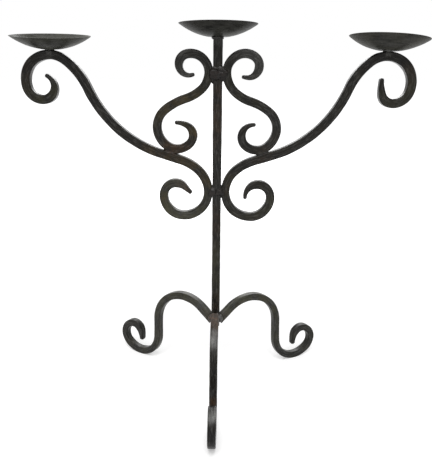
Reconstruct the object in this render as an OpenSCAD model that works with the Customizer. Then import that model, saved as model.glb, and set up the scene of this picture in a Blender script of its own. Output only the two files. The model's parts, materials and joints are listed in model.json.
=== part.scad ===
// Wrought iron candelabra: a square post on three scrolled legs, with two
// scrolled arms, two smaller scrolls and three dished candle pans.
// X runs along the arms, the front leg points to -Y and Z is up. The origin
// lies on the floor, in the middle of the box that holds the whole object.

/* [Bars] */
// Thickness of the post's square bar
post_bar = 12; // [10:0.5:13]
// Thickness of the square bar of the arms and scrolls
scroll_bar = 12; // [10:0.5:12.5]
// Thickness of the legs' square bar
leg_bar = 11.5; // [10:0.5:13]
// Thickness left at the tip of a drawn-out bar
tip_bar = 7; // [5:0.5:9]
// Length over which a bar thins towards its tip
tip_taper = 30; // [15:1:45]
// Width of the bevel along the post's corners
post_bevel = 1.5; // [0.5:0.25:2.5]

/* [Post] */
// Length of the post from the foot of the legs' joint to the arms' weld
stem_len = 217; // [180:1:280]
// Length of the post from the scrolls' weld to the middle pan
top_len = 47; // [42:1:70]

/* [Arms] */
// Bend radius of the shoulder, where an arm leaves the post
shoulder_r = 43.5; // [38:0.5:48]
// Bend radius of the easing above the shoulder
easing_r = 70; // [55:1:85]
// Length of the straight run under the scroll
slope_len = 29; // [15:1:50]
// Bend radius of the long hollow below a side pan
hollow_r = 164; // [140:2:190]
// Bend radius of the rise into the arch
rise_r = 89; // [70:1:110]
// Bend radius of the arch that carries a side pan
arch_r = 35.5; // [32:0.5:42]
// Bend radius of the outer curl
outer_curl_r = 22; // [20:0.5:25]
// Bend radius of the eye inside the outer curl
outer_eye_r = 17; // [15:0.5:18]
// Bend radius of the lower curl next to the post
lower_curl_r = 36.5; // [33:0.5:41]
// Bend radius of the far side of the lower curl
lower_turn_r = 29.5; // [26:0.5:32]
// Bend radius of the eye inside the lower curl
lower_eye_r = 18.5; // [17:0.5:21]

/* [Scrolls] */
// Bend radius of a scroll's upper curl next to the post
crook_r = 25; // [23:0.5:29]
// Bend radius of the eye inside the upper curl
crook_eye_r = 15.5; // [14:0.5:18]
// Bend radius of the waist, where a scroll leaves the post
waist_r = 32; // [28:0.5:36]
// Bend radius of the second half of the waist
waist_ease_r = 62; // [52:1:78]
// Bend radius of the shoulder above the belly
belly_ease_r = 91; // [75:1:105]
// Bend radius of the belly
belly_r = 31.5; // [29:0.5:35]
// Bend radius of the inner side of the lower end
heel_r = 25; // [22:0.5:28]
// Bend radius of the eye at the lower end
heel_eye_r = 17; // [15:0.5:19]

/* [Legs] */
// Slope of a leg where it leaves the post, in degrees
leg_slope = 39; // [34:1:46]
// Length of the straight start of a leg, from the post's middle line
leg_start = 34; // [26:1:44]
// Bend radius of a leg's arch
leg_arch_r = 55; // [48:1:62]
// Length of the straight drop below the arch
leg_drop = 36; // [20:1:56]
// Bend radius of the foot
foot_r = 41; // [36:1:46]
// Bend radius of the toe's outer turn
toe_r = 23; // [20:0.5:26]
// Bend radius of the eye inside the toe
toe_eye_r = 16.5; // [15:0.5:18]
// Depth of the flat worn under each foot
foot_flat = 0.5; // [0.3:0.1:1]
// Direction of the front leg, in degrees from +X
front_az = -91; // [-100:0.5:-80]
// Direction of the right leg, in degrees from +X
right_az = 28.5; // [20:0.5:40]
// Direction of the left leg, in degrees from +X
left_az = 148; // [140:0.5:160]

/* [Pans] */
// Diameter of a candle pan
pan_d = 110; // [90:1:125]
// Height of a pan from its underside to its rim
pan_depth = 17; // [12:0.5:24]
// Thickness of the pan's sheet
pan_wall = 2; // [1.2:0.1:3]
// Diameter of the flat in the middle of a pan
pan_seat_d = 30; // [24:1:36]
// Distance that a neck stands outward of the top of its arch
neck_shift = -0.5; // [-3:0.5:3]
// Distance that the left pan sits outward of its neck
left_pan_shift = -2.5; // [-4:0.5:4]
// Distance that the right pan sits outward of its neck
right_pan_shift = 0.5; // [-4:0.5:4]
// Dip of the left pan's front edge, in degrees
left_pan_dip = 5; // [-6:0.5:6]
// Dip of the right pan's front edge, in degrees
right_pan_dip = -4; // [-6:0.5:6]
// Lean of the left pan towards its outer edge, in degrees
left_pan_lean = 0.5; // [-4:0.5:4]
// Lean of the right pan towards its outer edge, in degrees
right_pan_lean = 2.5; // [-4:0.5:4]
// Diameter of the neck between an arm and its pan
neck_d = 13.5; // [9:0.5:15]
// Height of the neck between an arm and its pan
neck_h = 3; // [2:0.1:8]

/* [Welds] */
// Gap between the post and a bar that is welded to it
weld_gap = 0.7; // [0.4:0.1:1.6]
// Gap between a scroll and the arm that it stands on
tie_gap = 1.2; // [0.6:0.1:2.2]
// Height that a weld bead stands proud of a bar's face
bead_rise = 1.6; // [1:0.1:2.2]
// Length of the upper beads, between the post and the scrolls
upper_bead_len = 23; // [16:1:30]
// Length of the lower beads, between the post and the arms
lower_bead_len = 18; // [14:1:26]
// Length of the beads between the scrolls and the arms
tie_bead_len = 17; // [12:1:24]
// Reach of the weld metal between the legs, from the post's middle line
leg_bead_r = 14; // [11:0.5:18]
// Height of the bead under the middle pan
pan_bead_h = 3.5; // [2:0.5:6]
// Width of the bead under the middle pan, beyond the post's corners
pan_bead_w = 1.6; // [1:0.1:2.5]

/* [Hidden] */

// Colours of the paint, the pans and the bare weld metal
bar_black = [0.17, 0.16, 0.15];
pan_black = [0.22, 0.21, 0.20];
weld_brown = [0.26, 0.23, 0.20];

// Degrees between two points of a bend, and between two points of a round tip
bend_step = 8;
tip_step = 30;
// Reach of a cutting block past the object
far = 1000;

// A pose is a point on a bar's middle line, the heading there in degrees and
// the length of bar up to it: [x, z, heading, length]. A bend is [radius, turn],
// with a left turn positive, and a straight run is [length, 0].
function moved(p, size, turn) =
    turn == 0
    ? [p.x + size * cos(p[2]), p.y + size * sin(p[2]), p[2], p[3] + size]
    : let(
        side = sign(turn),
        heading = p[2] + turn
    ) [
        p.x + side * size * (sin(heading) - sin(p[2])),
        p.y - side * size * (cos(heading) - cos(p[2])),
        heading,
        p[3] + size * abs(turn) * PI / 180
    ];

// Poses along a list of bends, after the first pose
function walk(first, bends, i = 0) =
    i == len(bends)
    ? []
    : let(
        count = max(1, ceil(abs(bends[i][1]) / bend_step)),
        run = [for (k = [1 : count]) moved(first, bends[i][0], bends[i][1] * k / count)]
    ) concat(run, walk(run[count - 1], bends, i + 1));

// The poses of a bar in one direction: the bends behind the anchor, walked
// backwards, and then the bends ahead of it
function bar_path(anchor, behind, ahead) =
    let(
        back = walk([anchor.x, anchor.y, anchor[2] + 180, 0], behind)
    ) concat(
        [for (i = [len(back) - 1 : -1 : 0]) [back[i].x, back[i].y, back[i][2] - 180, -back[i][3]]],
        [anchor],
        walk(anchor, ahead)
    );

// Half of the bar's thickness at a distance from a drawn-out tip
function half_bar(bar, from_tip) =
    (tip_bar + (bar - tip_bar) * min(1, from_tip / tip_taper)) / 2;

// A point beside a pose, at a distance to its left
function beside(p, distance) =
    [p.x - distance * sin(p[2]), p.y + distance * cos(p[2])];

// Points of the half circle that closes a tip, from its left side to its right
function tip_round(p, radius) =
    [for (a = [90 - tip_step : -tip_step : -89]) p2(p) + radius * [cos(p[2] + a), sin(p[2] + a)]];

// The point of a pose
function p2(p) = [p.x, p.y];

// Outline of a bar with a tip at its end and, if asked, one at its start
function bar_outline(path, bar, start_tip) =
    let(
        last = len(path) - 1,
        half = [for (p = path) min(
            half_bar(bar, path[last][3] - p[3]),
            start_tip ? half_bar(bar, p[3] - path[0][3]) : bar / 2
        )],
        turned = [path[0].x, path[0].y, path[0][2] + 180]
    ) concat(
        [for (i = [0 : last]) beside(path[i], half[i])],
        tip_round(path[last], half[last]),
        [for (i = [last : -1 : 0]) beside(path[i], -half[i])],
        start_tip ? tip_round(turned, half[0]) : []
    );

// An upright slab of the bar's thickness, from an outline in X and Z
module upright(thickness) {
    rotate([90, 0, 0])
        linear_extrude(thickness, center = true)
            children();
}

// Puts a piece on the post's middle line, turned about it
module on_post(turn = 0) {
    translate([post_x, post_y, 0])
        rotate([0, 0, turn])
            children();
}

// Puts a piece on the right, or on the left as its mirror image
module on_side(side) {
    on_post()
        mirror([side == "left" ? 1 : 0, 0, 0])
            children();
}

// Legs. Each starts on the post's middle line and curls up behind its foot.
leg_bends = [[leg_start, 0], [leg_arch_r, -127], [leg_drop, 0], [foot_r, 125], [toe_r, 130], [toe_eye_r, 145]];
leg_from_zero = walk([0, 0, leg_slope, 0], leg_bends);
leg_root_z = leg_bar / 2 - foot_flat - min([for (p = leg_from_zero) p.y]);
leg_first = [0, leg_root_z, leg_slope, 0];
leg_outline = bar_outline(concat([leg_first], walk(leg_first, leg_bends)), leg_bar, false);
leg_reach = max([for (p = leg_outline) p.x]);

// The distance at which a leg is cut upright to clear the post's corners
function leg_cut(az) = post_bar / 2 * (abs(cos(az)) + abs(sin(az))) + weld_gap / 2;

// The legs' lowest corner next to the post, where the post ends as well
root_low_z = leg_root_z + leg_cut(front_az) * tan(leg_slope) - leg_bar / 2 / cos(leg_slope);

// The post's middle line stands back so that the origin is under the middle, and
// a little to the side as well, because the side pans don't sit alike
front_reach = leg_reach * abs(sin(front_az)) + leg_bar / 2 * abs(cos(front_az));
back_reach = max(
    leg_reach * sin(right_az) + leg_bar / 2 * abs(cos(right_az)),
    leg_reach * sin(left_az) + leg_bar / 2 * abs(cos(left_az)),
    pan_d / 2
);
post_y = (front_reach - back_reach) / 2;

// Middle line of the arms and scrolls where they pass the post
side_x = post_bar / 2 + weld_gap + scroll_bar / 2;

// Arms. Each passes the post upright, curls in below and reaches out above.
arm_weld_z = root_low_z + stem_len;
arm_anchor = [side_x, arm_weld_z, 90, 0];
arm_behind = [[lower_curl_r, 93], [lower_turn_r, 93], [lower_eye_r, 175]];
arm_reach = [[shoulder_r, -48], [easing_r, -25], [slope_len, 0], [hollow_r, 50], [rise_r, -30]];
reach_poses = walk(arm_anchor, arm_reach);
reach_end = reach_poses[len(reach_poses) - 1];
arch_turn = 144;
arm_ahead = concat(arm_reach, [
    [arch_r, -reach_end[2]], [arch_r, reach_end[2] - arch_turn],
    [outer_curl_r, -87], [outer_eye_r, -139]
]);
arm_path = bar_path(arm_anchor, arm_behind, arm_ahead);
// The arch is level at its top, where the side pan stands
arm_top = moved(reach_end, arch_r, -reach_end[2]);
neck_x = arm_top.x + neck_shift;

// Reach of a side pan's rim beyond its middle, towards the side that it leans to
function rim_reach(dip, lean) =
    pan_d / 2 * norm([cos(lean), sin(dip) * sin(lean)]) + pan_depth * cos(dip) * sin(lean);

arm_outer = max([for (p = bar_outline(arm_path, scroll_bar, true)) p.x]);
left_reach = max(arm_outer, neck_x + left_pan_shift + rim_reach(left_pan_dip, left_pan_lean));
right_reach = max(arm_outer, neck_x + right_pan_shift + rim_reach(right_pan_dip, right_pan_lean));
post_x = (left_reach - right_reach) / 2;

// Scrolls. The lower end of each stands on the arm, so the line that its
// middle keeps above the arm sets its height.
scroll_up = [[crook_r, -103], [crook_eye_r, -192]];
scroll_down = [
    [waist_r, 49], [waist_ease_r, 24], [belly_ease_r, -20], [belly_r, -110],
    [heel_r, -76], [heel_eye_r, -155]
];
// Headings of the part of an arm that a scroll can stand on
slope_low = 5;
slope_high = 75;
above_arm = [
    for (p = arm_path)
        if (p[3] > 0 && p[2] > slope_low && p[2] < slope_high && p.x < arm_top.x)
            beside(p, scroll_bar + tie_gap)
];
scroll_from_zero = walk([side_x, 0, -90, 0], scroll_down);
scroll_lifts = [for (p = scroll_from_zero) lookup(p.x, above_arm) - p.y];
scroll_weld_z = max(scroll_lifts);
scroll_path = bar_path([side_x, scroll_weld_z, 90, 0], scroll_down, scroll_up);
// The place and heading of the scroll where it stands on the arm
tie_pose = scroll_from_zero[search(scroll_weld_z, scroll_lifts)[0]];

// Heights of the pans' undersides
post_top_z = scroll_weld_z + top_len;
side_pan_z = arm_top.y + scroll_bar / 2 + neck_h;

module post() {
    flat = post_bar / 2 - post_bevel;
    half = post_bar / 2;
    color(bar_black)
        on_post()
            translate([0, 0, root_low_z])
                linear_extrude(post_top_z - root_low_z)
                    polygon([
                        [flat, half], [-flat, half], [-half, flat], [-half, -flat],
                        [-flat, -half], [flat, -half], [half, -flat], [half, flat]
                    ]);
}

module arm(side) {
    color(bar_black)
        on_side(side)
            upright(scroll_bar)
                polygon(bar_outline(arm_path, scroll_bar, true));
}

module scroll(side) {
    color(bar_black)
        on_side(side)
            upright(scroll_bar)
                polygon(bar_outline(scroll_path, scroll_bar, true));
}

module leg(az) {
    color(bar_black)
        on_post(az)
            upright(leg_bar)
                intersection() {
                    polygon(leg_outline);
                    translate([leg_cut(az), 0])
                        square(far);
                }
}

// A dished pan with a flat seat in its middle, on the given height, whose front
// edge dips by one angle and whose edge at +X dips by the other
module pan(x, z, dip = 0, lean = 0) {
    rim_r = pan_d / 2;
    seat_r = pan_seat_d / 2;
    dish_z = (rim_r * rim_r + pan_depth * pan_depth - seat_r * seat_r) / (2 * pan_depth);
    dish_r = norm([seat_r, dish_z]);
    color(pan_black)
        on_post()
            translate([x, 0, z])
                rotate([dip, lean, 0])
                    rotate_extrude($fn = 96) {
                        intersection() {
                            translate([0, dish_z])
                                difference() {
                                    circle(dish_r, $fn = 180);
                                    circle(dish_r - pan_wall, $fn = 180);
                                }
                            square([rim_r, pan_depth]);
                        }
                        square([seat_r, pan_wall]);
                    }
}

// The pan on the left or the right neck, as it sits
module side_pan(side) {
    if (side == "left")
        pan(-neck_x - left_pan_shift, side_pan_z, left_pan_dip, -left_pan_lean);
    else
        pan(neck_x + right_pan_shift, side_pan_z, right_pan_dip, right_pan_lean);
}

// The short neck between an arm's arch and its pan, narrower in its middle. It
// starts inside both, and they are cut out of it.
module neck(side) {
    neck_r = neck_d / 2;
    waist = neck_h / 3;
    head = pan_wall / 2;
    foot = arm_top.y - side_pan_z;
    color(bar_black)
        difference() {
            on_side(side)
                translate([neck_x, 0, side_pan_z])
                    rotate_extrude($fn = 48)
                        polygon([
                            [0, head], [neck_r, head], [neck_r, 0], [neck_r - waist / 2, -waist],
                            [neck_r - waist / 2, -2 * waist], [neck_r, -neck_h], [neck_r, foot], [0, foot]
                        ]);
            arm(side);
            side_pan(side);
        }
}

// Barrel of weld metal about Z, which swells from its ends to its middle
module barrel(radius, length) {
    rotate_extrude($fn = 48)
        polygon([
            [0, -length / 2], [radius * 0.6, -length / 2], [radius * 0.9, -length * 0.35],
            [radius, -length * 0.15], [radius, length * 0.15], [radius * 0.9, length * 0.35],
            [radius * 0.6, length / 2], [0, length / 2]
        ]);
}

// Weld along the post, between it and a bar that passes it at the height z
module post_weld(side, z, length) {
    color(weld_brown)
        difference() {
            on_side(side)
                translate([(post_bar + weld_gap) / 2, 0, z])
                    barrel(scroll_bar / 2 + bead_rise, length);
            post();
            children();
        }
}

// Weld between a scroll's lower end and the arm under it
module tie_weld(side) {
    seam = beside(tie_pose, (scroll_bar + tie_gap) / 2);
    color(weld_brown)
        difference() {
            on_side(side)
                translate([seam.x, 0, scroll_weld_z + seam.y])
                    rotate([0, 90 - tie_pose[2], 0])
                        barrel(scroll_bar / 2 + bead_rise, tie_bead_len);
            arm(side);
            scroll(side);
        }
}

// Point of a leg in plan, at a distance along it and one to its left
function leg_point(az, along, left) =
    [along * cos(az) - left * sin(az), along * sin(az) + left * cos(az)];

// Weld metal in the corner between the post and two legs, up to their sides
module leg_weld(az, next_az) {
    root_tall = leg_bar / cos(leg_slope);
    half = leg_bar / 2;
    reach = 3 * leg_bead_r;
    color(weld_brown)
        difference() {
            on_post()
                intersection() {
                    translate([0, 0, root_low_z])
                        cylinder(h = root_tall, r = leg_bead_r, $fn = 48);
                    linear_extrude(root_low_z + 2 * root_tall)
                        polygon([
                            [0, 0], leg_point(az, leg_cut(az), half), leg_point(az, reach, half),
                            leg_point(next_az, reach, -half), leg_point(next_az, leg_cut(next_az), -half)
                        ]);
                }
            post();
        }
}

// Bead round the top of the post, under the middle pan
module pan_weld() {
    corner_r = norm([post_bar / 2, post_bar / 2 - post_bevel]);
    color(weld_brown)
        difference() {
            on_post()
                translate([0, 0, post_top_z - pan_bead_h])
                    cylinder(h = pan_bead_h, r1 = corner_r + 0.2, r2 = corner_r + pan_bead_w, $fn = 48);
            post();
        }
}

post();
arm("left");  // arm_left
arm("right");  // arm_right
scroll("left");  // scroll_left
scroll("right");  // scroll_right
leg(front_az);  // leg_front
leg(left_az);  // leg_left
leg(right_az);  // leg_right
pan(0, post_top_z);  // pan_centre
side_pan("left");  // pan_left
side_pan("right");  // pan_right
neck("left");  // neck_left
neck("right");  // neck_right
post_weld("left", scroll_weld_z, upper_bead_len) scroll("left");  // upper_weld_left
post_weld("right", scroll_weld_z, upper_bead_len) scroll("right");  // upper_weld_right
post_weld("left", arm_weld_z, lower_bead_len) arm("left");  // lower_weld_left
post_weld("right", arm_weld_z, lower_bead_len) arm("right");  // lower_weld_right
tie_weld("left");  // tie_weld_left
tie_weld("right");  // tie_weld_right
leg_weld(left_az, front_az);  // leg_weld_left
leg_weld(front_az, right_az);  // leg_weld_right
leg_weld(right_az, left_az);  // leg_weld_back
pan_weld();
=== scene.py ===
# Wrought iron candelabra: forged bars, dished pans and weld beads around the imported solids.
# Lengths in the settings are millimetres and angles are degrees; the meshes are in metres.
import bpy
import json
import math
import numpy as np
from mathutils import Matrix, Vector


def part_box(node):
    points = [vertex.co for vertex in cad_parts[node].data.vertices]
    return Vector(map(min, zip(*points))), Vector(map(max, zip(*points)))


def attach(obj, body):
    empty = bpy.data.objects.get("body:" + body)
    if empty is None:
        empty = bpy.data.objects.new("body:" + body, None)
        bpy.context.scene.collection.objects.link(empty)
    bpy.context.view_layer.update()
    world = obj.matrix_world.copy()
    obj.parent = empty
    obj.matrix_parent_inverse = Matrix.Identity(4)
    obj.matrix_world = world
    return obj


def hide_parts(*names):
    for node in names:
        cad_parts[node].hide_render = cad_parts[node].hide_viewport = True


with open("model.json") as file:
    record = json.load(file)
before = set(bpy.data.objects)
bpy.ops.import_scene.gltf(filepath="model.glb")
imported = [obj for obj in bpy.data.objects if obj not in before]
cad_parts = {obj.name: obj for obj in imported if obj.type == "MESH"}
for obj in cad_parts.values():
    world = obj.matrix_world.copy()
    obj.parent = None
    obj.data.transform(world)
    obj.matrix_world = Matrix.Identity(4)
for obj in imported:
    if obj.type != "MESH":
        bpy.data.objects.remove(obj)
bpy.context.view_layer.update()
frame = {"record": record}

mm = 0.001


# shared tools

def nodeCorners(node):
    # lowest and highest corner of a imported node
    return [np.array(corner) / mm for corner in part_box(node)]


postLow, postHigh = nodeCorners("post")
postX, postY = (postLow[:2] + postHigh[:2]) / 2  # its middle line stands back from the origin


def onPost(points, turn=0, mirrored=False):
    # turned about the post's middle line, or mirrored to the left of it
    a = math.radians(turn)
    x, y, z = points[..., 0] * (-1 if mirrored else 1), points[..., 1], points[..., 2]
    return np.stack([postX + x * math.cos(a) - y * math.sin(a),
                     postY + x * math.sin(a) + y * math.cos(a), z], axis=-1)


def softNoise(rows, cols, cells, seed):
    # random heights on a coarse grid of cells along and round, blended by cosine ramps; it wraps
    # round the columns and runs from 0 to 1
    rowCells, colCells = cells
    heights = np.random.default_rng(seed).random((rowCells + 2, colCells))
    row = np.clip(rows, 0, 1)[:, None] * rowCells
    col = (cols % 1)[None, :] * colCells
    row0, col0 = np.floor(row).astype(int), np.floor(col).astype(int)
    rowShare = (1 - np.cos(np.pi * (row - row0))) / 2
    colShare = (1 - np.cos(np.pi * (col - col0))) / 2
    col0, col1 = col0 % colCells, (col0 + 1) % colCells
    near = heights[row0, col0] * (1 - colShare) + heights[row0, col1] * colShare
    far = heights[row0 + 1, col0] * (1 - colShare) + heights[row0 + 1, col1] * colShare
    return near * (1 - rowShare) + far * rowShare


def closedGrid(name, points, patinaAndPaintedLight, grainWay):
    # rings of points joined by quads round and along, with a fan over each end ring
    rings, cols = points.shape[:2]
    ring, col = np.meshgrid(np.arange(rings - 1), np.arange(cols), indexing="ij")
    nextCol = (col + 1) % cols
    quads = np.stack([ring * cols + col, ring * cols + nextCol,
                      (ring + 1) * cols + nextCol, (ring + 1) * cols + col], axis=-1)
    quads = quads.reshape(-1, 4)
    around = np.arange(cols)
    nextRound = (around + 1) % cols
    startTip, endTip, lastRing = rings * cols, rings * cols + 1, (rings - 1) * cols
    tris = np.concatenate([
        np.stack([np.full(cols, startTip), nextRound, around], axis=-1),
        np.stack([np.full(cols, endTip), lastRing + around, lastRing + nextRound], axis=-1)])

    def withTips(values):
        tips = np.stack([values[0].mean(axis=0), values[-1].mean(axis=0)])
        return np.concatenate([values.reshape(-1, values.shape[-1]), tips])

    verts = withTips(points) * mm
    corners = np.concatenate([quads.reshape(-1), tris.reshape(-1)]).astype(np.int32)
    sizes = np.concatenate([np.full(len(quads), 4), np.full(len(tris), 3)]).astype(np.int32)
    starts = np.concatenate([[0], np.cumsum(sizes)[:-1]]).astype(np.int32)
    mesh = bpy.data.meshes.new(name)
    mesh.vertices.add(len(verts))
    mesh.vertices.foreach_set("co", verts.astype(np.float32).reshape(-1))
    mesh.loops.add(len(corners))
    mesh.loops.foreach_set("vertex_index", corners)
    mesh.polygons.add(len(sizes))
    mesh.polygons.foreach_set("loop_start", starts)
    mesh.polygons.foreach_set("use_smooth", np.ones(len(sizes), dtype=bool))
    mesh.update(calc_edges=True)
    for layerName, kind, field, values in (("patinaAndPaintedLight", "FLOAT_COLOR", "color", patinaAndPaintedLight),
                                           ("grainWay", "FLOAT_VECTOR", "vector", grainWay)):
        layer = mesh.attributes.new(layerName, kind, "POINT")
        layer.data.foreach_set(field, withTips(values).astype(np.float32).reshape(-1))
    pointOutward(mesh, verts, np.concatenate([quads[:, :3], quads[:, [0, 2, 3]], tris]))
    piece = bpy.data.objects.new(name, mesh)
    bpy.context.scene.collection.objects.link(piece)
    return piece


def pointOutward(mesh, verts, tris):
    # a closed shell's signed volume, the sum of a . (b x c), is negative when its faces point in
    a, b, c = (verts[tris[:, k]] for k in range(3))
    if np.einsum("ij,ij->", a, np.cross(b, c)) < 0:
        mesh.flip_normals()


def dress(piece, node, material):
    piece.data.materials.append(material)
    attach(piece, "root")
    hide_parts(node)


# paint

# A noise is a scale, a detail and a roughness. A ramp runs from one noise level to another, and
# then gives the least and the most share of a colour, or roughness in roughRamp.
barPaint = {
    "black": (0.0020, 0.0019, 0.0018), "streak": (0.0430, 0.0422, 0.0402),
    "olive": (0.046, 0.0445, 0.0185), "rust": (0.105, 0.045, 0.014),
    # the pale dust colour is also the colour of painted highlights and painted light
    "dustAndPaintedLight": (0.24, 0.24, 0.23), "worn": (0.080, 0.078, 0.074),
    "streakNoise": (1, 5, 0.72), "patchNoise": (55, 4),
    "speckNoise": (420, 3, 0.7), "dimpleNoise": (150, 2),
    "streakRamp": (0.49, 0.63), "patchRamp": (0.36, 0.62, 0.15, 1), "wornRamp": (0.38, 0.66),
    "rustStreakRamp": (0.3, 0.6, 0.35, 1), "rustSpeckRamp": (0.4, 0.6, 0.4, 1),
    "dustAndLightStreakRamp": (0.35, 0.62, 0.35, 1), "dustAndLightSpeckRamp": (0.42, 0.62, 0.6, 1),
    "dimpleDepth": 0.34, "grooveDepth": 0.14, "bumpStrength": 0.7,
    "roughRamp": (0.3, 0.7, 0.22, 0.38), "rustRough": 0.35, "specular": 0.17,
}
panPaint = dict(
    barPaint, black=(0.0140, 0.0138, 0.0128), streak=(0.056, 0.0555, 0.0505),
    olive=(0.045, 0.046, 0.030), rust=(0.050, 0.036, 0.027),
    patchNoise=(38, 4), dimpleNoise=(95, 2), streakRamp=(0.38, 0.68),
    dimpleDepth=0.28, grooveDepth=0.1, roughRamp=(0.3, 0.7, 0.30, 0.42), specular=0.03)
# the welds' light worn colour also paints the highlight along their crests
weldPaint = dict(
    barPaint, black=(0.0018, 0.0014, 0.0013), streak=(0.019, 0.0125, 0.0115),
    olive=(0.024, 0.022, 0.014), rust=(0.019, 0.0100, 0.0078), worn=(0.16, 0.16, 0.155),
    patchNoise=(160, 4), dimpleNoise=(330, 2),
    dimpleDepth=0.5, grooveDepth=0.3, rustRough=0.1, specular=0.2)
jointPaint = dict(weldPaint, rust=(0.115, 0.062, 0.034))  # rusty weld metal where the legs meet


def paintMaterial(name, look):
    # black paint streaked along the grain way; the patina attribute, which also carries painted
    # light, holds the shares of rust, olive and a pale colour for dust and painted highlights,
    # each broken up by noise, and a fourth that is worn paint and painted highlight above zero,
    # painted shade below
    material = bpy.data.materials.new(name)
    material.use_nodes = True
    nodes, links = material.node_tree.nodes, material.node_tree.links
    shader = nodes["Principled BSDF"]
    shader.inputs["Specular IOR Level"].default_value = look["specular"]
    place = nodes.new("ShaderNodeTexCoord").outputs["Object"]

    def attribute(attributeName):
        node = nodes.new("ShaderNodeAttribute")
        node.attribute_name = attributeName
        return node

    def noise(source, scale, detail, roughness=0.55):
        node = nodes.new("ShaderNodeTexNoise")
        node.inputs["Scale"].default_value = scale
        node.inputs["Detail"].default_value = detail
        node.inputs["Roughness"].default_value = roughness
        links.new(source, node.inputs["Vector"])
        return node.outputs["Fac"]

    def mapped(value, fromLow, fromHigh, toLow=0, toHigh=1):
        node = nodes.new("ShaderNodeMapRange")
        for socket, number in (("From Min", fromLow), ("From Max", fromHigh),
                               ("To Min", toLow), ("To Max", toHigh)):
            node.inputs[socket].default_value = number
        links.new(value, node.inputs["Value"])
        return node.outputs["Result"]

    def times(first, second):
        # kept between 0 and 1
        node = nodes.new("ShaderNodeMath")
        node.operation = "MULTIPLY"
        node.use_clamp = True
        links.new(first, node.inputs[0])
        if isinstance(second, int):
            node.inputs[1].default_value = second
        else:
            links.new(second, node.inputs[1])
        return node.outputs[0]

    def painted(under, over, share):
        node = nodes.new("ShaderNodeMix")
        node.data_type = "RGBA"
        links.new(share, node.inputs[0])
        if isinstance(under, tuple):
            node.inputs[6].default_value = (*under, 1)
        else:
            links.new(under, node.inputs[6])
        node.inputs[7].default_value = (*over, 1)
        return node.outputs[2]

    def bumped(height, depth, under=None):
        node = nodes.new("ShaderNodeBump")
        node.inputs["Strength"].default_value = look["bumpStrength"]
        node.inputs["Distance"].default_value = depth * mm
        links.new(height, node.inputs["Height"])
        if under:
            links.new(under, node.inputs["Normal"])
        return node.outputs["Normal"]

    patinaAndPaintedLight = attribute("patinaAndPaintedLight")
    shares = nodes.new("ShaderNodeSeparateColor")
    links.new(patinaAndPaintedLight.outputs["Color"], shares.inputs["Color"])
    streaks = noise(attribute("grainWay").outputs["Vector"], *look["streakNoise"])
    patches = noise(place, *look["patchNoise"])
    specks = noise(place, *look["speckNoise"])
    dimples = noise(place, *look["dimpleNoise"])

    patchy = mapped(patches, *look["patchRamp"])
    color = painted(look["black"], look["streak"], mapped(streaks, *look["streakRamp"]))
    color = painted(color, look["olive"], times(shares.outputs["Green"], patchy))
    rusty = times(times(patchy, mapped(streaks, *look["rustStreakRamp"])),
                  mapped(specks, *look["rustSpeckRamp"]))
    color = painted(color, look["rust"], times(shares.outputs["Red"], rusty))
    # the pale colour for dust, and for painted highlights and painted light
    dustAndLightShare = times(mapped(streaks, *look["dustAndLightStreakRamp"]), mapped(specks, *look["dustAndLightSpeckRamp"]))
    color = painted(color, look["dustAndPaintedLight"], times(shares.outputs["Blue"], dustAndLightShare))
    worn = times(patinaAndPaintedLight.outputs["Alpha"], mapped(dimples, *look["wornRamp"]))
    color = painted(color, look["worn"], worn)
    # painted shade: where the fourth share is below zero the colour goes to black, as along the
    # bars' corners
    color = painted(color, look["black"], times(patinaAndPaintedLight.outputs["Alpha"], -1))
    links.new(color, shader.inputs["Base Color"])
    dull = nodes.new("ShaderNodeMath")  # rust takes the shine off
    dull.operation = "MULTIPLY_ADD"
    dull.inputs[1].default_value = look["rustRough"]
    links.new(shares.outputs["Red"], dull.inputs[0])
    links.new(mapped(streaks, *look["roughRamp"]), dull.inputs[2])
    links.new(dull.outputs[0], shader.inputs["Roughness"])
    dented = bumped(dimples, look["dimpleDepth"])
    links.new(bumped(streaks, look["grooveDepth"], dented), shader.inputs["Normal"])
    return material


paintedBar = paintMaterial("paintedBar", barPaint)
paintedPan = paintMaterial("paintedPan", panPaint)
paintedWeld = paintMaterial("paintedWeld", weldPaint)
paintedJoint = paintMaterial("paintedJoint", jointPaint)
print("paint ready")


# forged square bars

forging = {
    "step": 1.0,         # spacing of the rings along a bar
    "easing": 4.0,       # length over which one bend runs into the next
    "cornerPoints": 6, "flatPoints": 4,  # on each corner and each flat of a ring
    "cornerRound": 2.0,  # radius of the softened corners
    "cornerLeast": 0.8, "cornerSpread": 0.5,  # its least share, and what the noise adds
    "taperCurve": 0.4,   # how much of a taper is an S curve; the rest is straight
    "tipDepth": 0.86,    # share of the depth left at a drawn-out tip
    "tipLean": (22, 42, 58, 72, 83),  # the rings over a tip, as angles of its quarter circle
    "tipFlat": 0.30,     # share of the width that stays flat on a tip
    "dentSize": 11.0,    # length of a hammer mark
    "dentDepth": 0.34,
    "scaleSize": 4.0,    # finer unevenness
    "scaleDepth": 0.08,
    "leastCells": 3,     # fewest noise cells along a bar
    "roundCells": {"dents": 8, "scale": 16, "corners": 4, "wearAndPaintedLight": 6},  # and those round it
    "streakLength": 13,  # length and width of the streaks in the paint
    "streakWidth": 2.2,
    "streakShift": 3.7,  # moves each bar's streaks on by its seed
    "edgeWear": 0.9, "edgeShade": 0.6,  # edges are worn by the first times noise, less the second, a painted shade on the corners
    "olive": 0.07, "rust": 0.03, "dustAndPaintedLight": 0.008,  # patina all over, before the marks of each bar
}


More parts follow.
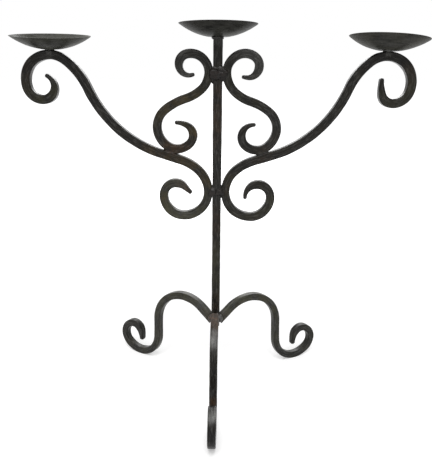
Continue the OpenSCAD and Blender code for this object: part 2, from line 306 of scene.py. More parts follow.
def bentLine(anchor, heading, behind, ahead):
    # heading as a function of length, straight between the ends of the bends and then smoothed;
    # the point is the running sum of its cosine and sine, counted from the anchor
    def knots(bends):
        size, turn = np.array(bends, dtype=float).reshape(-1, 2).T
        length = np.where(turn == 0, size, size * np.abs(np.radians(turn)))
        return np.cumsum(length), heading + np.cumsum(turn)

    backLength, backHeading = knots(behind)
    frontLength, frontHeading = knots(ahead)
    knotLength = np.concatenate([-backLength[::-1], [0], frontLength])
    knotHeading = np.concatenate([backHeading[::-1], [heading], frontHeading])
    count = int(round((knotLength[-1] - knotLength[0]) / forging["step"])) + 1
    s = np.linspace(knotLength[0], knotLength[-1], count)
    spacing = s[1] - s[0]
    half = max(1, int(round(forging["easing"] / spacing)))
    window = np.hanning(2 * half + 3)[1:-1]
    raw = np.radians(np.interp(s, knotLength, knotHeading))
    padded = np.concatenate([2 * raw[0] - raw[half:0:-1], raw, 2 * raw[-1] - raw[-2:-half - 2:-1]])
    h = np.convolve(padded, window / window.sum(), mode="valid")
    runX = np.concatenate([[0], np.cumsum((np.cos(h[1:]) + np.cos(h[:-1])) / 2 * spacing)])
    runZ = np.concatenate([[0], np.cumsum((np.sin(h[1:]) + np.sin(h[:-1])) / 2 * spacing)])
    x = anchor[0] + runX - np.interp(0, s, runX)
    z = anchor[1] + runZ - np.interp(0, s, runZ)
    return x, z, h, s - s[0], s


def squareRing():
    # a square with round corners as four numbers a point: share of the half width and of the
    # corner radius, for each of the two directions
    turn = np.radians(np.linspace(0, 90, forging["cornerPoints"]))
    flat = np.linspace(1, -1, forging["flatPoints"] + 2)[1:-1]
    one, flatOne = np.ones_like(turn), np.ones_like(flat)
    corner = np.stack([one, np.cos(turn), one, np.sin(turn)], axis=1)
    side = np.stack([flat, 0 * flat, flatOne, flatOne], axis=1)
    across, depth = np.split(np.concatenate([corner, side]), 2, axis=1)
    quarters = []
    for k in range(4):
        a, b = math.cos(k * math.pi / 2), math.sin(k * math.pi / 2)
        quarters.append(np.concatenate([a * across - b * depth, b * across + a * depth], axis=1))
    ring = np.concatenate(quarters)
    edge = np.minimum(np.abs(ring[:, 1]), np.abs(ring[:, 3])) * 1.41  # 1 on a corner, 0 on a flat
    return ring, np.clip(edge, 0, 1)


def markedShare(s, base, marks):
    # a base share with soft humps, each amount * exp(-((s - centre) / half) ** 2)
    share = np.full_like(s, base)
    for centre, half, amount in marks:
        share = share + amount * np.exp(-((s - centre) / half) ** 2)
    return np.clip(share, 0, 1)


def barSurface(line, bar, fullness, tip, tapers, marks, seed, swell=0):
    # the rounded square carried along the line: point = centre + across * normal + depth * y, each
    # face swollen by the fullness, drawn in by hammer marks and thinned to the tip over the tapers
    x, z, h, s, t = line
    ring, edge = squareRing()
    share, around = s / s[-1], np.arange(len(ring)) / len(ring)

    def noise(size, kind, order):
        cells = max(forging["leastCells"], int(s[-1] / forging[size]))
        return softNoise(share, around, (cells, forging["roundCells"][kind]), seed + order)

    thin = np.ones_like(s)
    for taper, fromTip in zip(tapers, (s, s[-1] - s)):
        if taper:
            thin = np.minimum(thin, fromTip / taper)
    curve = forging["taperCurve"]
    thin = thin * thin * (3 - 2 * thin) * curve + thin * (1 - curve)
    full = bar / 2 * (1 + swell * (share * 2 - 1)) + fullness
    halfAcross = tip / 2 + (full - tip / 2) * thin
    halfDepth = full * (forging["tipDepth"] + (1 - forging["tipDepth"]) * thin)
    dents = noise("dentSize", "dents", 0) * forging["dentDepth"] \
        + noise("scaleSize", "scale", 1) * forging["scaleDepth"]
    softness = forging["cornerLeast"] + forging["cornerSpread"] * noise("dentSize", "corners", 2)
    corner = forging["cornerRound"] * softness
    across = ring[:, 0] * (halfAcross[:, None] - corner) + ring[:, 1] * (corner - dents)
    depth = ring[:, 2] * (halfDepth[:, None] - corner) + ring[:, 3] * (corner - dents)
    points = np.stack([x[:, None] - across * np.sin(h)[:, None], depth,
                       z[:, None] + across * np.cos(h)[:, None]], axis=-1)
    # edge wear, less a painted shade that darkens the corners
    wearAndPaintedLight = forging["edgeWear"] * noise("dentSize", "wearAndPaintedLight", 3) - forging["edgeShade"]
    shares = [markedShare(t, forging[kind], marks.get(kind, []))[:, None] + 0 * across
              for kind in ("rust", "olive", "dustAndPaintedLight")]
    along = t[:, None] / forging["streakLength"] + seed * forging["streakShift"] + 0 * across
    width = forging["streakWidth"]
    grain = np.stack([along, across / width, depth / width], axis=-1)
    return points, np.stack(shares + [edge[None, :] * wearAndPaintedLight], axis=-1), grain


def roundTip(surface, atEnd, tip):
    # rings that shrink along a quarter circle past one end, so the tip is blunt and rounded
    points = surface[0]
    last, inner = (-1, -2) if atEnd else (0, 1)
    centre = points[last].mean(axis=0)
    onward = centre - points[inner].mean(axis=0)
    onward /= np.linalg.norm(onward)
    lean = np.radians(forging["tipLean"])
    shrink = forging["tipFlat"] + (1 - forging["tipFlat"]) * np.cos(lean)
    reach = np.sin(lean) * tip / 2
    rings = centre + (points[last] - centre) * shrink[:, None, None] \
        + reach[:, None, None] * onward
    added = [rings] + [np.repeat(values[last][None], len(lean), axis=0) for values in surface[1:]]
    if atEnd:
        return tuple(np.concatenate([values, more]) for values, more in zip(surface, added))
    return tuple(np.concatenate([more[::-1], values]) for values, more in zip(surface, added))


# A bar's marks of rust, olive, and dust and painted highlight are a centre, a half length and an
# amount each, measured from the post's foot, from the post's middle line on a leg and from the
# weld on a side bar.
postBar = {
    "fullness": 0.62,
    "swell": 0.028,  # thinner at the foot and thicker at the top by this share
    "marks": {"rust": [(330, 48, 0.24), (165, 30, 0.2), (45, 20, 0.15)],
              "olive": [(100, 44, 0.3)],
              "dustAndPaintedLight": [(100, 44, 0.02), (429, 5.5, 0.27), (8, 12, 0.1), (218, 8, 0.08)]},
}


def postPiece(name, node, seed):
    length = postHigh[2] - postLow[2]
    s = np.linspace(0, length, int(length / forging["step"]) + 1)
    line = (0 * s, postLow[2] + s, np.full_like(s, math.pi / 2), s, s)
    bar = postHigh[0] - postLow[0]
    points, patinaAndPaintedLight, grain = barSurface(line, bar, postBar["fullness"], bar, (0, 0),
                                       postBar["marks"], seed, postBar["swell"])
    dress(closedGrid(name, onPost(points), patinaAndPaintedLight, grain), node, paintedBar)


# Each bend is a radius and a turn, or a straight length and no turn. They are counted from the
# weld at the post, behind it to one end of the bar and ahead of it to the other. The two sides of
# this handmade piece differ by a millimetre or two, and by more in their eyes.
sideX = 12.7  # middle line of the side bars where they pass the post
armBar = {
    "bar": 12, "weldZ": 315.02, "fullness": 0.55, "tip": 6.0,
    "behind": {
        "left": [(35.8, 93.6), (29.5, 94.5), (17.7, 125.9), (12, 0)],
        "right": [(37.1, 93.2), (29.3, 93), (18.6, 175.3)],
    },
    "ahead": {
        "left": [(44.3, -47.9), (70.4, -25.2), (27, 0), (166, 49.7), (89.8, -30.1),
                 (35.5, -143.9), (21.1, -86.9), (17, -139)],
        "right": [(43.2, -48), (69.9, -25), (28.9, 0), (163, 51.1), (85.8, -30.2),
                  (36.7, -143.7), (23, -85.3), (14.7, -62), (60, -20)],
    },
    "tapers": {"left": (22, 34), "right": (30, 28)},  # length of the taper behind and ahead
    "marks": {
        "left": {"rust": [(85, 42, 0.32), (352, 26, 0.12), (-150, 14, 0.4), (20, 30, 0.15),
                          (-100, 12, 0.2)],
                 "olive": [(60, 60, 0.25), (-75, 70, 0.7), (410, 36, 0.35)],
                 "dustAndPaintedLight": [(-56, 34, 0.17), (-140, 30, 0.12), (440, 20, 0.05), (309, 9, 0.15)]},
        "right": {"rust": [(80, 22, 0.1), (8, 14, 0.2), (350, 20, 0.1)],
                  "olive": [(-75, 50, 0.25), (395, 36, 0.25), (14, 20, 0.15)],
                  "dustAndPaintedLight": [(395, 50, 0.03), (-62, 34, 0.03)]},
    },
}
scrollBar = {
    "bar": 12, "weldZ": 485.51, "fullness": 0.4, "tip": 5.8,
    "behind": {
        "left": [(31.3, 48.5), (60, 24), (92.5, -20.5), (31.8, -113.5), (24.8, -80),
                 (16.5, -105), (36, -22)],
        "right": [(35.6, 48.4), (59.4, 24.3), (86.2, -19.6), (31.4, -110), (24.7, -75.6),
                  (17, -125), (22, -10)],
    },
    "ahead": {
        "left": [(24.8, -104.4), (14.3, -185)],
        "right": [(25.3, -114.8), (15.5, -165), (3, 0)],
    },
    "tapers": {"left": (32, 34), "right": (30, 26)},
    # the dust marks round 76 on the left and 46 on the right paint the sheen on the crooks' front
    # faces
    "marks": {
        "left": {"rust": [(-70, 44, 0.2), (-154, 20, 0.4), (-190, 24, 0.3)],
                 "olive": [(-66, 50, 0.4), (-200, 20, 0.4)],
                 "dustAndPaintedLight": [(76, 14, 0.2), (40, 20, 0.05), (104, 16, 0.12)]},
        "right": {"rust": [(-150, 20, 0.08)],
                  "olive": [(-50, 40, 0.1)],
                  "dustAndPaintedLight": [(46, 24, 0.26), (-115, 40, 0.03), (80, 20, 0.09)]},
    },
}


def sideBar(name, node, look, side, seed):
    line = bentLine((sideX, look["weldZ"]), 90, look["behind"][side], look["ahead"][side])
    surface = barSurface(line, look["bar"], look["fullness"], look["tip"], look["tapers"][side],
                         look["marks"][side], seed)
    points, patinaAndPaintedLight, grain = roundTip(roundTip(surface, True, look["tip"]), False, look["tip"])
    points = onPost(points, mirrored=side == "left")
    dress(closedGrid(name, points, patinaAndPaintedLight, grain), node, paintedBar)


evenLeg = [(34, 0), (55, -127), (36, 0), (41, 125), (23, 130), (15.5, 88), (50, 16)]
backLegMarks = {"rust": [(14, 12, 0.2)],
                "olive": [(60, 60, 0.45), (160, 160, 0.3)],
                "dustAndPaintedLight": [(24, 34, 0.18), (160, 190, 0.11)]}
legBar = {
    "bar": 11.5, "rootZ": 100.2, "tip": 7.4, "taper": 20,
    "gap": 0.35,    # between the post's corner and the leg's upright face
    "margin": 0.5,  # rings nearer to that face than this are left out
    "turn": {"front": -90.65, "right": 28.5, "left": 148},
    "slope": {"front": 39, "right": 39, "left": 38.3},
    "behind": [(0.001, 0)],  # next to nothing, because a leg begins at its root
    "ahead": {
        "front": evenLeg, "right": evenLeg,
        "left": [(32.8, 0), (56.1, -127.2), (32, 0), (41.2, 125.3), (22.9, 128.5), (15.5, 88),
                 (50, 16)],
    },
    "fullness": {"front": 0.1, "right": 0.2, "left": 0.5},
    "marks": {
        "front": {"rust": [(72, 26, 1), (20, 30, 0.4), (198, 9, 0.4)],
                  # the dust marks at 100 and 112 paint the highlight on the arch's crest, and the
                  # one at 329 the highlight on the top of the foot's curl
                  "dustAndPaintedLight": [(82, 20, 0.22), (100, 4, 0.4), (112, 10, 0.75), (329, 7, 0.95)]},
        "right": backLegMarks, "left": backLegMarks,
    },
}


def legPiece(name, node, side, seed):
    # the bar starts on an upright plane that clears the post's corners: its first ring is slid
    # down the slope onto that plane
    turn, bar = legBar["turn"][side], legBar["bar"]
    a, slope = math.radians(turn), math.radians(legBar["slope"][side])
    cut = (postHigh[0] - postLow[0]) / 2 * (abs(math.cos(a)) + abs(math.sin(a))) + legBar["gap"]
    line = bentLine((0, legBar["rootZ"]), legBar["slope"][side], legBar["behind"],
                    legBar["ahead"][side])
    keep = line[0] > cut + bar / 2 * math.sin(slope) + legBar["margin"]
    x, z, h, s, t = (values[keep] for values in line)
    surface = barSurface((x, z, h, s - s[0], t), bar, legBar["fullness"][side], legBar["tip"],
                         (0, legBar["taper"]), legBar["marks"][side], seed)
    first = [values[:1].copy() for values in surface]
    root = first[0]
    back = (root[..., 0] - cut) / math.cos(slope)
    root[..., 0] -= back * math.cos(slope)
    root[..., 2] -= back * math.sin(slope)
    surface = [np.concatenate(pair) for pair in zip(first, surface)]
    points, patinaAndPaintedLight, grain = roundTip(surface, True, legBar["tip"])
    points[..., 2] = np.maximum(points[..., 2], 0)  # the feet are flat on the floor
    dress(closedGrid(name, onPost(points, turn), patinaAndPaintedLight, grain), node, paintedBar)


postPiece("postBar", "post", seed=70)
sideBar("armLeft", "arm_left", armBar, "left", seed=11)
sideBar("armRight", "arm_right", armBar, "right", seed=21)
sideBar("scrollLeft", "scroll_left", scrollBar, "left", seed=31)
sideBar("scrollRight", "scroll_right", scrollBar, "right", seed=41)
legPiece("legFront", "leg_front", "front", seed=51)
legPiece("legRight", "leg_right", "right", seed=56)
legPiece("legLeft", "leg_left", "left", seed=61)
print("bars forged")


# dished pans and their necks

panDish = {
    "radius": 55, "depth": 17, "wall": 2.0, "seat": 15,  # seat is the radius of the small flat
    "rimInset": 0.9,  # the outer face ends this far inside the rim
    "columns": 144, "dishRings": 40, "rimRings": 7, "flatRings": 7,
    "hub": 0.02,      # share of the flat where its first ring lies
    "dentDepth": 0.3, "dentCells": (7, 20),      # hammer marks
    "rimWave": 0.35, "waveCells": (2, 5),        # rise and fall of the rim
    "evenTo": 0.5, "unevenFrom": 3.5,            # heights between which both come in
    # the inside share is a painted sheen that lightens the inner face; the worn band along the rim
    # is wear and painted highlight
    "wearAndPaintedLight": 0.3, "wearWidth": 1.4, "wearCells": (3, 14), "insideSheen": 0.3,
    "ringWidth": 5.0, "ringBreaks": 2.2,         # width of the paint's rings, how they break up
}
# lean is degrees down to the right and to the back, past the solids' own; lift moves the pan up
pans = {
    "panCentre": {"seat": "candle_seat_centre", "lean": (0, 0), "lift": 0,
                  "rust": 0.05, "olive": 0.15, "dustAndPaintedLight": 0.03},
    "panLeft": {"seat": "candle_seat_left", "lean": (1.5, -1.5), "lift": -1.1,
                "rust": 0.05, "olive": 0.6, "dustAndPaintedLight": 0.06},
    "panRight": {"seat": "candle_seat_right", "lean": (0.85, -1.6), "lift": 0.6,
                 "rust": 0.25, "olive": 0.4, "dustAndPaintedLight": 0.13},
}


def panFrame(pan):
    # middle of the pan's underside and three directions across, back and up, as the pan sits
    mount = next(mount for mount in frame["record"]["mounts"] if mount["name"] == pan["seat"])
    seat, up = np.array(mount["pos_m"]) / mm, np.array(mount["axis"], dtype=float)
    up = up + np.radians((*pan["lean"], 0))
    up /= np.linalg.norm(up)
    across = np.cross((0, 1, 0), up)
    across /= np.linalg.norm(across)
    return seat + (0, 0, pan["lift"]) - up * panDish["wall"], across, np.cross(up, across), up


def panPiece(name, node, seed):
    # profile turned about the pan's middle: the flat seat, the outer sphere up to the rim, a round
    # rim and the inner sphere back to the middle; hammer marks move both faces together
    pan = pans[name]
    under, across, back, up = panFrame(pan)
    rim, depth, wall, seat = panDish["radius"], panDish["depth"], panDish["wall"], panDish["seat"]
    dishZ = (rim * rim + depth * depth - seat * seat) / (2 * depth)
    dishR = math.hypot(seat, dishZ)
    innerR, middleR = dishR - wall, dishR - wall / 2
    seatLean, rimLean = math.asin(seat / dishR), math.asin((rim - panDish["rimInset"]) / dishR)
    outerLean = np.linspace(seatLean, rimLean, panDish["dishRings"])
    innerLean = np.linspace(rimLean, math.acos((dishZ - wall) / innerR), panDish["dishRings"])
    outer = np.stack([dishR * np.sin(outerLean), dishZ - dishR * np.cos(outerLean)])
    inner = np.stack([innerR * np.sin(innerLean), dishZ - innerR * np.cos(innerLean)])
    turn = np.linspace(0, np.pi, panDish["rimRings"] + 2)[1:-1] - math.pi / 2 + rimLean
    rimRound = np.stack([middleR * math.sin(rimLean) + wall / 2 * np.cos(turn),
                         dishZ - middleR * math.cos(rimLean) + wall / 2 * np.sin(turn)])
    flat = np.linspace(panDish["hub"], 1, panDish["flatRings"] + 1)[:-1]
    underFlat = np.stack([flat * seat, 0 * flat])
    upperFlat = np.stack([flat[::-1] * inner[0, -1], np.full(len(flat), wall)])
    r, z = np.concatenate([underFlat, outer, rimRound, inner, upperFlat], axis=1)
    inside = np.arange(len(r)) >= len(r) - inner.shape[1] - len(flat)  # rings of the inner face
    angle = np.arange(panDish["columns"]) * 2 * np.pi / panDish["columns"]
    share, around = np.clip(r / rim, 0, 1), angle / (2 * np.pi)
    dents = softNoise(share, around, panDish["dentCells"], seed) - 0.5
    wave = softNoise(share, around, panDish["waveCells"], seed + 1) - 0.5
    lift = dents * panDish["dentDepth"] + wave * panDish["rimWave"] * 2
    lift = lift * (share ** 2)[:, None]
    uneven = (z[:, None] - panDish["evenTo"]) / (panDish["unevenFrom"] - panDish["evenTo"])
    z = np.clip(z[:, None] + lift * np.clip(uneven, 0, 1), 0, depth)
    r = r[:, None] + 0 * angle
    x, y = r * np.cos(angle), r * np.sin(angle)
    points = under + x[..., None] * across + y[..., None] * back + z[..., None] * up
    worn = np.exp(-((r - rim) / panDish["wearWidth"]) ** 2) * panDish["wearAndPaintedLight"] \
        * softNoise(share, around, panDish["wearCells"], seed + 2)
    # painted sheen on the inner face, over the pan's dust
    dustAndLightShare = pan["dustAndPaintedLight"] + panDish["insideSheen"] * inside[:, None] + 0 * r
    patinaAndPaintedLight = np.stack([pan["rust"] + 0 * r, pan["olive"] + 0 * r, dustAndLightShare, worn], axis=-1)
    breaks = panDish["ringBreaks"]
    grain = np.stack([np.cos(angle) * breaks + 0 * r, np.sin(angle) * breaks + seed + 0 * r,
                      r / panDish["ringWidth"]], axis=-1)
    dress(closedGrid(name, points, patinaAndPaintedLight, grain), node, paintedPan)


neck = {
    "radius": 7.7, "waist": 6.5,
    "flareFrom": 0.62,  # share of the height where the foot ends and the upper flares begin
    "sink": 0.6,        # how far it runs into the pan
    "columns": 48, "rings": 24, "dentDepth": 0.5, "dentCells": (6, 9),
    "rust": 0.05, "olive": 0.1, "worn": 0.1, "grainSize": 3,
    "dustAndPaintedLight": {"panLeft": (0.3, 1), "panRight": (0, 1)},  # at the foot and under the pan; the rise towards the pan is painted light against the pan's shadow
}


def neckPiece(name, node, panName, seed):
    # profile turned about the neck's middle: a straight foot inside the arch, then a waist between
    # two flares; the height of each ring is shared out up to the tipped underside of the pan
    low, high = nodeCorners(node)
    centre = (low + high) / 2
    under, _, _, up = panFrame(pans[panName])
    t = np.linspace(0, 1, neck["rings"])
    angle = np.arange(neck["columns"]) * 2 * np.pi / neck["columns"]
    dents = softNoise(t, angle / (2 * np.pi), neck["dentCells"], seed)
    flare = 2 * np.clip((t - neck["flareFrom"]) / (1 - neck["flareFrom"]), 0, 1) - 1
    radius = neck["waist"] + (neck["radius"] - neck["waist"]) * flare ** 2
    r = radius[:, None] - neck["dentDepth"] * dents
    x, y = centre[0] + r * np.cos(angle), centre[1] + r * np.sin(angle)
    top = under[2] - ((x - under[0]) * up[0] + (y - under[1]) * up[1]) / up[2] + neck["sink"]
    points = np.stack([x, y, low[2] + (top - low[2]) * t[:, None]], axis=-1)
    # more of the pale colour towards the pan paints light into the pan's shadow
    dustAndLightLow, dustAndLightHigh = neck["dustAndPaintedLight"][panName]
    dustAndLightShare = dustAndLightLow + (dustAndLightHigh - dustAndLightLow) * t[:, None]
    shares = [share + 0 * r for share in (neck["rust"], neck["olive"], dustAndLightShare, neck["worn"])]
    patinaAndPaintedLight, grain = np.stack(shares, axis=-1), points / neck["grainSize"]
    dress(closedGrid(name, points, patinaAndPaintedLight, grain), node, paintedBar)


panPiece("panCentre", "pan_centre", seed=101)
panPiece("panLeft", "pan_left", seed=111)
panPiece("panRight", "pan_right", seed=121)
neckPiece("neckLeft", "neck_left", "panLeft", seed=131)
neckPiece("neckRight", "neck_right", "panRight", seed=136)
print("pans dished")


# weld beads

beadForm = {
    "rings": 64, "columns": 96,
    "boxiness": 0.7, "roundness": 0.92,  # powers of the sines and cosines going round and up
    "lumpCells": (5, 7), "smallCells": (12, 17), "smallShare": 0.5,  # two sizes of lumps
    "rippleHeight": 0.02,
    "swellUp": 0.8,                      # share of the swelling that goes into the height
    "crestAt": 0.95, "crestWidth": 0.2,  # the painted highlight along the crest, in radians up from the bead's middle
    "lumpWear": 0.2, "shade": 0.1, "olive": 0.2,
    "runs": (9, 4, 1.7),                 # the paint's streaks are level, as the weld's runs are
}


def beadPiece(name, node, bead, seed, material):
    # a rounded box: each half size times sines and cosines raised to the roundness going up and
    # the boxiness going round, swollen by lumps and by the ripples of the weld pool, then leant
    def power(value, kind="boxiness"):
        return np.sign(value) * np.abs(value) ** beadForm[kind]

    rings, columns, lumps = beadForm["rings"], beadForm["columns"], bead["lumps"]
    up = np.linspace(-0.5, 0.5, rings + 2)[1:-1] * np.pi
    angle = np.arange(columns) * 2 * np.pi / columns
    share, around = up / np.pi + 0.5, angle / (2 * np.pi)
    large = softNoise(share, around, beadForm["lumpCells"], seed) * 2 - 1
    small = softNoise(share, around, beadForm["smallCells"], seed + 1) * 2 - 1
    ripple = np.cos(2 * np.pi * bead["ripples"] * share)[:, None]
    swell = 1 + lumps * large + lumps * beadForm["smallShare"] * small \
        + beadForm["rippleHeight"] * ripple
    level, (halfX, halfY, halfZ) = power(np.cos(up), "roundness")[:, None], bead["half"]
    x = halfX * level * power(np.cos(angle)) * swell
    y = halfY * level * power(np.sin(angle)) * swell
    z = halfZ * power(np.sin(up), "roundness")[:, None] * (1 + beadForm["swellUp"] * (swell - 1))
    a, centre = math.radians(bead["lean"]), bead["centre"]
    points = np.stack([centre[0] + x * math.cos(a) + z * math.sin(a), centre[1] + y,
                       centre[2] - x * math.sin(a) + z * math.cos(a)], axis=-1)
    # a painted highlight along the crest, added to the lighter worn lumps
    onCrest = np.exp(-((up - beadForm["crestAt"]) / beadForm["crestWidth"]) ** 2)[:, None]
    worn = np.clip((swell - 1) / lumps, 0, 1) * beadForm["lumpWear"] + bead["crestHighlight"] * onCrest \
        - beadForm["shade"]
    shares = [amount + 0 * swell for amount in (bead["rust"], beadForm["olive"], bead["dustAndPaintedLight"])]
    patinaAndPaintedLight, grain = np.stack(shares + [worn], axis=-1), points / beadForm["runs"]
    dress(closedGrid(name, onPost(points), patinaAndPaintedLight, grain), node, material)


upperZ, lowerZ = scrollBar["weldZ"], armBar["weldZ"]
upperWeld = {
    "lumps": 0.16, "ripples": 5, "rust": 0.5, "dustAndPaintedLight": 0.01, "crestHighlight": 1.3,
    "left": {"centre": (-4.5, 0, upperZ - 3.0), "half": (8.9, 9.8, 12.2), "lean": 4},
    "right": {"centre": (5.1, 0, upperZ - 1.9), "half": (9.4, 9.6, 10.0), "lean": 6},
}
lowerWeld = {
    "lumps": 0.2, "ripples": 5, "rust": 0.4, "dustAndPaintedLight": 0.04, "crestHighlight": 0.1, "lean": 0,
    "left": {"centre": (-4.4, 0, lowerZ + 0.4), "half": (8.4, 8.0, 9.0)},
    "right": {"centre": (4.6, 0, lowerZ + 1.0), "half": (8.4, 8.0, 9.2)},
}


def postBead(name, node, weld, side, seed):
    beadPiece(name, node, {**weld, **weld[side]}, seed, paintedWeld)


postBead("upperWeldLeft", "upper_weld_left", upperWeld, "left", seed=201)
postBead("upperWeldRight", "upper_weld_right", upperWeld, "right", seed=205)
postBead("lowerWeldLeft", "lower_weld_left", lowerWeld, "left", seed=211)
postBead("lowerWeldRight", "lower_weld_right", lowerWeld, "right", seed=215)

# the scroll stands on the arm where the arm climbs outward
tieWeld = {
    "x": 66.64, "z": 380.1, "slope": 17.8,  # the arm's middle line there
    "offset": 6.6, "inward": {"left": 0.6, "right": 2.6},  # from it, down and back along the slope
    "half": (10, 6.9, 4.2), "lumps": 0.12, "ripples": 5, "dustAndPaintedLight": 0.02, "crestHighlight": 0.4,
    "rust": {"left": 0.4, "right": 0.3},
}


def tieBead(name, node, side, seed, material):
    mirror, slope = (-1 if side == "left" else 1), math.radians(tieWeld["slope"])
    inward, offset = tieWeld["inward"][side], tieWeld["offset"]
    x = tieWeld["x"] + offset * math.sin(slope) - inward * math.cos(slope)
    z = tieWeld["z"] - offset * math.cos(slope) - inward * math.sin(slope)
    bead = dict(tieWeld, centre=(mirror * x, 0, z), lean=-mirror * tieWeld["slope"],
                rust=tieWeld["rust"][side])
    beadPiece(name, node, bead, seed, material)


tieBead("tieWeldLeft", "tie_weld_left", "left", seed=221, material=paintedJoint)
tieBead("tieWeldRight", "tie_weld_right", "right", seed=225, material=paintedWeld)

legWeld = {
    "fromPost": 7.4, "raise": 5.0,  # out from the post's middle line, up from the solid's middle
    "half": (4.9, 4.9, 6.4), "lean": 0, "lumps": 0.08, "ripples": 2, "crestHighlight": 0.2,
}


def legBead(name, node, fromTurn, toTurn, rust, dustAndPaintedLight, seed):
    # in the corner halfway between two legs
    middle = math.radians((fromTurn + toTurn) / 2)
    low, high = nodeCorners(node)
    x, y = legWeld["fromPost"] * math.cos(middle), legWeld["fromPost"] * math.sin(middle)
    centre = (x, y, (low[2] + high[2]) / 2 + legWeld["raise"])
    beadPiece(name, node, dict(legWeld, centre=centre, rust=rust, dustAndPaintedLight=dustAndPaintedLight), seed, paintedJoint)


frontTurn, rightTurn, leftTurn = (legBar["turn"][side] for side in ("front", "right", "left"))
legBead("legWeldLeft", "leg_weld_left", leftTurn, frontTurn + 360, rust=1, dustAndPaintedLight=0.25, seed=231)
legBead("legWeldRight", "leg_weld_right", frontTurn, rightTurn, rust=0.1, dustAndPaintedLight=0.75, seed=235)
legBead("legWeldBack", "leg_weld_back", rightTurn, leftTurn, rust=0.4, dustAndPaintedLight=0.4, seed=239)

panWeld = {  # a collar round the post's top
    "centre": (-0.5, 0, postHigh[2] - 1.4), "half": (8.7, 9.4, 3.2), "lean": 0,
    "lumps": 0.1, "ripples": 1, "rust": 0.2, "dustAndPaintedLight": 0.3, "crestHighlight": 0.6,
}
beadPiece("panWeld", "pan_weld", panWeld, seed=243, material=paintedWeld)
print("welds laid")


# floor, light and camera

studio = {  # lengths in metres
    "floorSize": 60, "floorColor": 0.8, "floorGlow": 0.42, "fadeFrom": 0.5, "fadeTo": 1.3,
    "worldFill": 0.3, "aim": (0, 0, 0.2),
    "topLight": {"position": (-0.1, -1.1, 2.1), "size": (1.4, 1.3), "power": 38},
    "backLight": {"position": (0.3, 2.2, 1.5), "size": (1.8, 1.0), "power": 24},
}


def throughCamera(nodes, links):
    # 1 for rays from the camera, in a reflection or through glass, 0 for the light on the object
    path = nodes.new("ShaderNodeLightPath")
    seen = path.outputs["Is Camera Ray"]
    for ray in ("Is Glossy Ray", "Is Transmission Ray"):
        either = nodes.new("ShaderNodeMath")
        either.operation = "MAXIMUM"
        links.new(seen, either.inputs[0])
        links.new(path.outputs[ray], either.inputs[1])
        seen = either.outputs[0]
    return seen


def floorPlane():
    # a pale floor that takes the shadow near the object and fades to plain white further out
    half = studio["floorSize"] / 2
    corners = [(-half, -half, 0), (half, -half, 0), (half, half, 0), (-half, half, 0)]
    mesh = bpy.data.meshes.new("floor")
    mesh.from_pydata(corners, [], [(0, 1, 2, 3)])
    floor = bpy.data.objects.new("floor", mesh)
    bpy.context.scene.collection.objects.link(floor)
    material = bpy.data.materials.new("paleFloor")
    material.use_nodes = True
    nodes, links = material.node_tree.nodes, material.node_tree.links
    nodes.clear()
    diffuse = nodes.new("ShaderNodeBsdfDiffuse")
    diffuse.inputs["Color"].default_value = (studio["floorColor"],) * 3 + (1,)
    distance = nodes.new("ShaderNodeVectorMath")
    distance.operation = "LENGTH"
    links.new(nodes.new("ShaderNodeTexCoord").outputs["Object"], distance.inputs[0])
    fade = nodes.new("ShaderNodeMapRange")
    fade.interpolation_type = "SMOOTHSTEP"
    fade.inputs["From Min"].default_value = studio["fadeFrom"]
    fade.inputs["From Max"].default_value = studio["fadeTo"]
    fade.inputs["To Min"].default_value = studio["floorGlow"]
    links.new(distance.outputs["Value"], fade.inputs["Value"])
    strength = nodes.new("ShaderNodeMath")
    strength.operation = "MULTIPLY"
    links.new(throughCamera(nodes, links), strength.inputs[0])
    links.new(fade.outputs["Result"], strength.inputs[1])
    glow = nodes.new("ShaderNodeEmission")
    links.new(strength.outputs[0], glow.inputs["Strength"])
    both = nodes.new("ShaderNodeAddShader")
    links.new(diffuse.outputs[0], both.inputs[0])
    links.new(glow.outputs[0], both.inputs[1])
    out = nodes.new("ShaderNodeOutputMaterial")
    links.new(both.outputs[0], out.inputs["Surface"])
    mesh.materials.append(material)


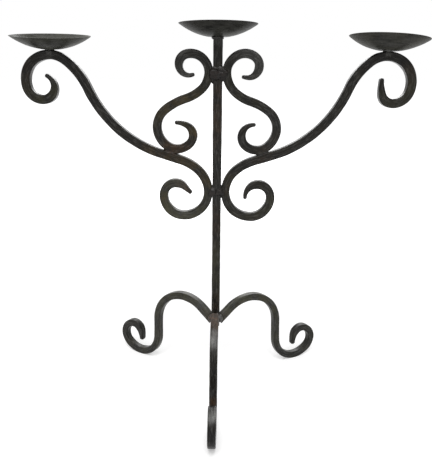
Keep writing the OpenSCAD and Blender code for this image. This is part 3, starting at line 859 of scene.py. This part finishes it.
def whiteWorld():
    # white where the camera sees it, and a weak even fill as light
    world = bpy.data.worlds.new("studio")
    world.use_nodes = True
    nodes, links = world.node_tree.nodes, world.node_tree.links
    background = nodes["Background"]
    background.inputs["Color"].default_value = (1, 1, 1, 1)
    strength = nodes.new("ShaderNodeMapRange")
    strength.inputs["To Min"].default_value = studio["worldFill"]
    strength.inputs["To Max"].default_value = 1
    links.new(throughCamera(nodes, links), strength.inputs["Value"])
    links.new(strength.outputs["Result"], background.inputs["Strength"])
    bpy.context.scene.world = world


def softbox(name):
    look = studio[name]
    lamp = bpy.data.lights.new(name, "AREA")
    lamp.shape = "RECTANGLE"
    lamp.size, lamp.size_y = look["size"]
    lamp.energy = look["power"]
    holder = bpy.data.objects.new(name, lamp)
    bpy.context.scene.collection.objects.link(holder)
    position = np.array(look["position"])
    away = position - studio["aim"]
    away /= np.linalg.norm(away)
    side = np.cross((0, 0, 1), away)
    side /= np.linalg.norm(side)
    turned = np.stack([side, np.cross(away, side), away, position], axis=1)
    holder.matrix_world = Matrix([*turned.tolist(), (0, 0, 0, 1)])


floorPlane()
whiteWorld()
softbox("topLight")
softbox("backLight")

photoCamera = {
    "sensor": 36, "focalPixels": 532.5, "longSide": 464,  # the photograph's long side in pixels
    "position": (6.5, -777.2, 485.7),  # from the post's middle line on the floor
    "turn": 0.515, "pitch": 16.7, "roll": 0.53,
    "near": 10, "far": 50000,          # nothing is drawn nearer or further
}


def photographCamera():
    lens = bpy.data.cameras.new("photoCamera")
    lens.sensor_width = photoCamera["sensor"]
    lens.lens = photoCamera["focalPixels"] / photoCamera["longSide"] * photoCamera["sensor"]
    lens.clip_start, lens.clip_end = photoCamera["near"] * mm, photoCamera["far"] * mm
    camera = bpy.data.objects.new("photoCamera", lens)
    bpy.context.scene.collection.objects.link(camera)
    x, y, z = photoCamera["position"]
    place = Matrix.Translation(((postX + x) * mm, (postY + y) * mm, z * mm))
    turn = Matrix.Rotation(math.radians(photoCamera["turn"]), 4, "Z")
    tilt = Matrix.Rotation(math.radians(90 - photoCamera["pitch"]), 4, "X")
    roll = Matrix.Rotation(math.radians(photoCamera["roll"]), 4, "Z")
    camera.matrix_world = place @ turn @ tilt @ roll
    bpy.context.scene.camera = camera


photographCamera()
bpy.context.scene.view_settings.view_transform = "Standard"
print("studio ready")
